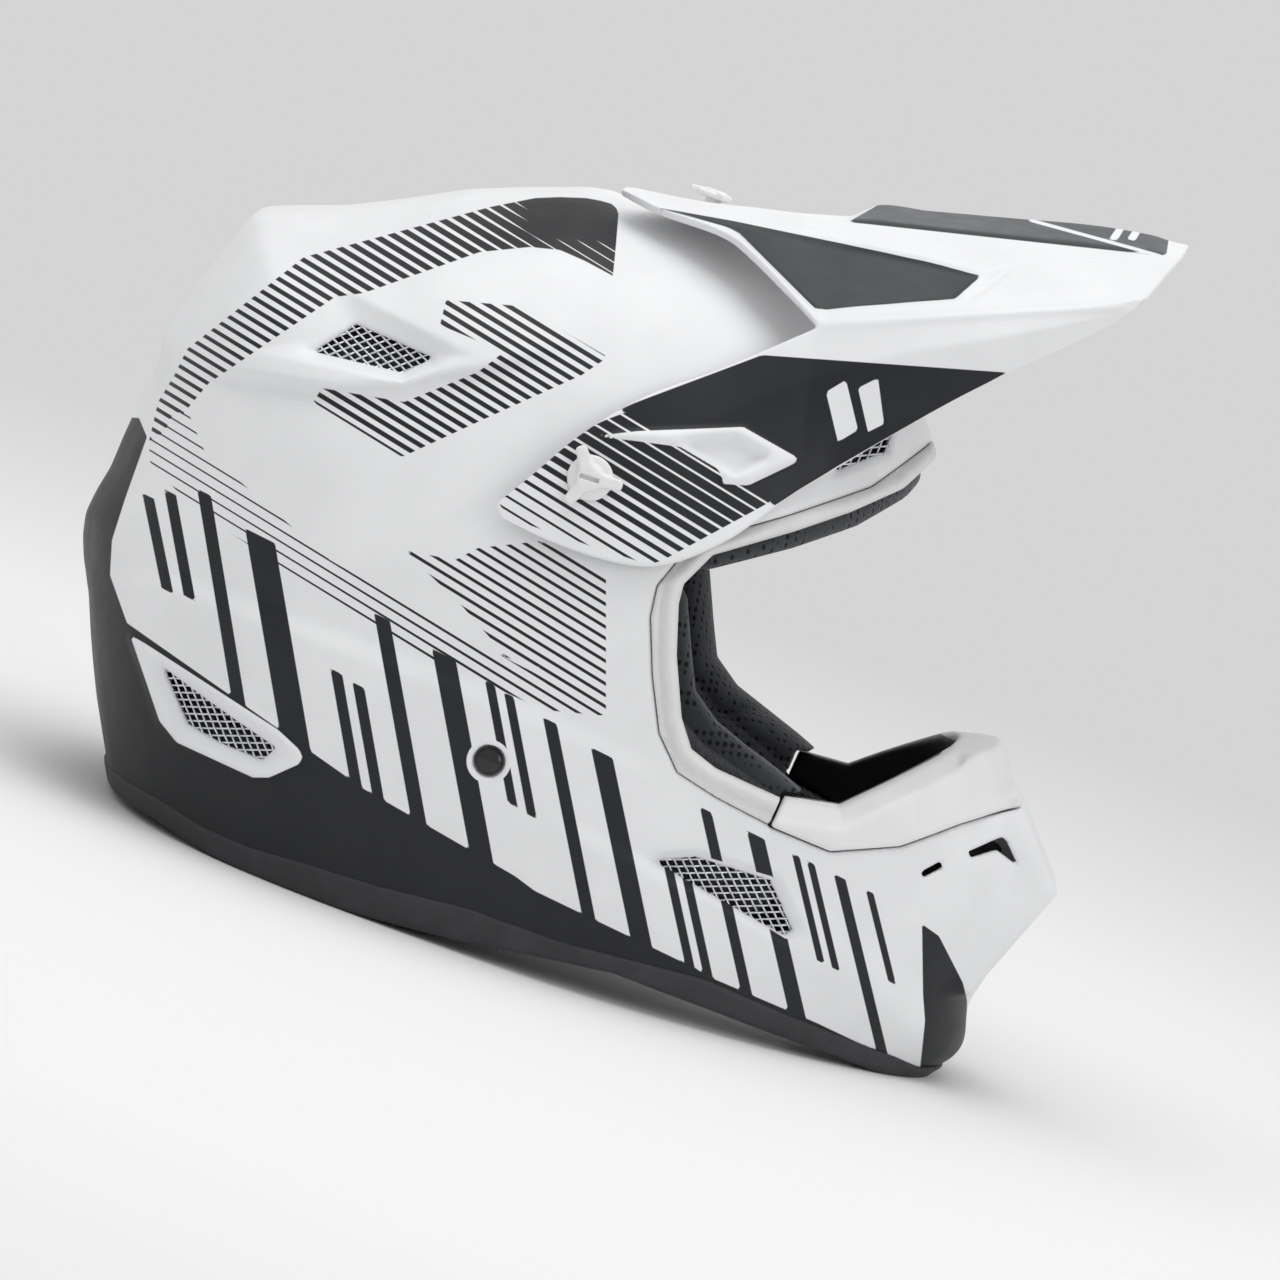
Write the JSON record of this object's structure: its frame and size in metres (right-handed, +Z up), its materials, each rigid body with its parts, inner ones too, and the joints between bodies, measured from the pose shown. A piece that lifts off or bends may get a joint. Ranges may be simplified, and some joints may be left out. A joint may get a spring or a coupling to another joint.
{
  "type": "motocross helmet",
  "caption": "Off-road full-face helmet with a peaked visor, open eyeport, vented chin bar, padded liner and double-ring chin strap.",
  "frame": {"origin": "on the table plane below the middle of the bounding box, the helmet standing on its chin and the rear of its rim", "axes": "+X the way the wearer faces, +Y to the wearer's left, +Z up"},
  "size_m": [0.3764, 0.26, 0.3148],
  "materials": {
    "shell_white": "satin painted moulded shell with matte black graphics",
    "visor_white": "satin moulded peak with matte black graphics",
    "trim_rubber": "matte charcoal rubber edge trim",
    "gasket_rubber": "soft white rubber edge trim",
    "guard_rubber": "soft white moulded rubber",
    "impact_foam": "expanded foam beads",
    "liner_fabric": "black spacer mesh over foam",
    "vent_plastic": "matte black moulded frame",
    "vent_mesh": "expanded metal mesh",
    "screw_plastic": "semi-gloss white moulding",
    "washer_rubber": "matte black",
    "hardware_steel": "plated steel",
    "rivet_black": "gloss black domed cap",
    "webbing": "black woven nylon webbing",
    "snap_plastic": "black"
  },
  "bodies": {
    "helmet": {"shell": "shell_white", "base_trim": "trim_rubber", "eyeport_gasket": "gasket_rubber", "nose_guard": "guard_rubber", "eps_crown": "impact_foam", "eps_chin": "impact_foam", "comfort_liner": "liner_fabric", "cheek_foam_right": "impact_foam", "cheek_foam_left": "impact_foam", "cheek_pad_right": "liner_fabric", "cheek_pad_left": "liner_fabric", "neck_roll": "liner_fabric", "mouth_vent_grille": "vent_plastic", "visor_washer_right": "washer_rubber", "visor_washer_left": "washer_rubber", "visor_insert_right": "hardware_steel", "visor_insert_left": "hardware_steel", "visor_insert_top": "hardware_steel", "strap_rivet_right": "rivet_black", "strap_rivet_left": "rivet_black", "upper_vent_grille_right": "vent_mesh", "upper_vent_grille_left": "vent_mesh", "rear_vent_grille_right": "vent_mesh", "rear_vent_grille_left": "vent_mesh", "chin_vent_grille_right": "vent_mesh", "chin_vent_grille_left": "vent_mesh", "brow_vent_grille_right": "vent_mesh", "brow_vent_grille_left": "vent_mesh"},
    "visor_body": {"visor": "visor_white"},
    "screw_right": {"visor_screw_right": "screw_plastic"},
    "screw_left": {"visor_screw_left": "screw_plastic"},
    "screw_top": {"visor_screw_top": "screw_plastic"},
    "strap_body": {"strap_hanger_right": "hardware_steel", "strap_hanger_left": "hardware_steel", "chin_strap_short": "webbing", "chin_strap_long": "webbing", "strap_snap": "snap_plastic"},
    "rings_body": {"d_ring_inner": "hardware_steel", "d_ring_outer": "hardware_steel"}
  },
  "joints": [
    {"name": "visor_tilt", "type": "hinge", "parent": "helmet", "child": "visor_body", "pos_m": [-0.01479, 0, 0.1698], "axis": [0, 1, 0], "range_deg": [-3, 3]},
    {"name": "visor_screw_right_turn", "type": "hinge", "parent": "helmet", "child": "screw_right", "pos_m": [-0.01479, -0.12, 0.1698], "axis": [0, 1, 0], "continuous": true},
    {"name": "visor_screw_left_turn", "type": "hinge", "parent": "helmet", "child": "screw_left", "pos_m": [-0.01479, 0.12, 0.1698], "axis": [0, 1, 0], "continuous": true},
    {"name": "visor_screw_top_turn", "type": "hinge", "parent": "helmet", "child": "screw_top", "pos_m": [-0.01309, 0, 0.27], "axis": [0, 0, 1], "continuous": true},
    {"name": "chin_strap_swing", "type": "hinge", "parent": "helmet", "child": "strap_body", "pos_m": [-0.01519, 0, 0.0668], "axis": [0, 1, 0], "range_deg": [-7, 7]},
    {"name": "d_ring_lift", "type": "hinge", "parent": "strap_body", "child": "rings_body", "pos_m": [-0.01519, -0.0341, 0.0149], "axis": [1, 0, 0], "range_deg": [0, 6]}
  ]
}
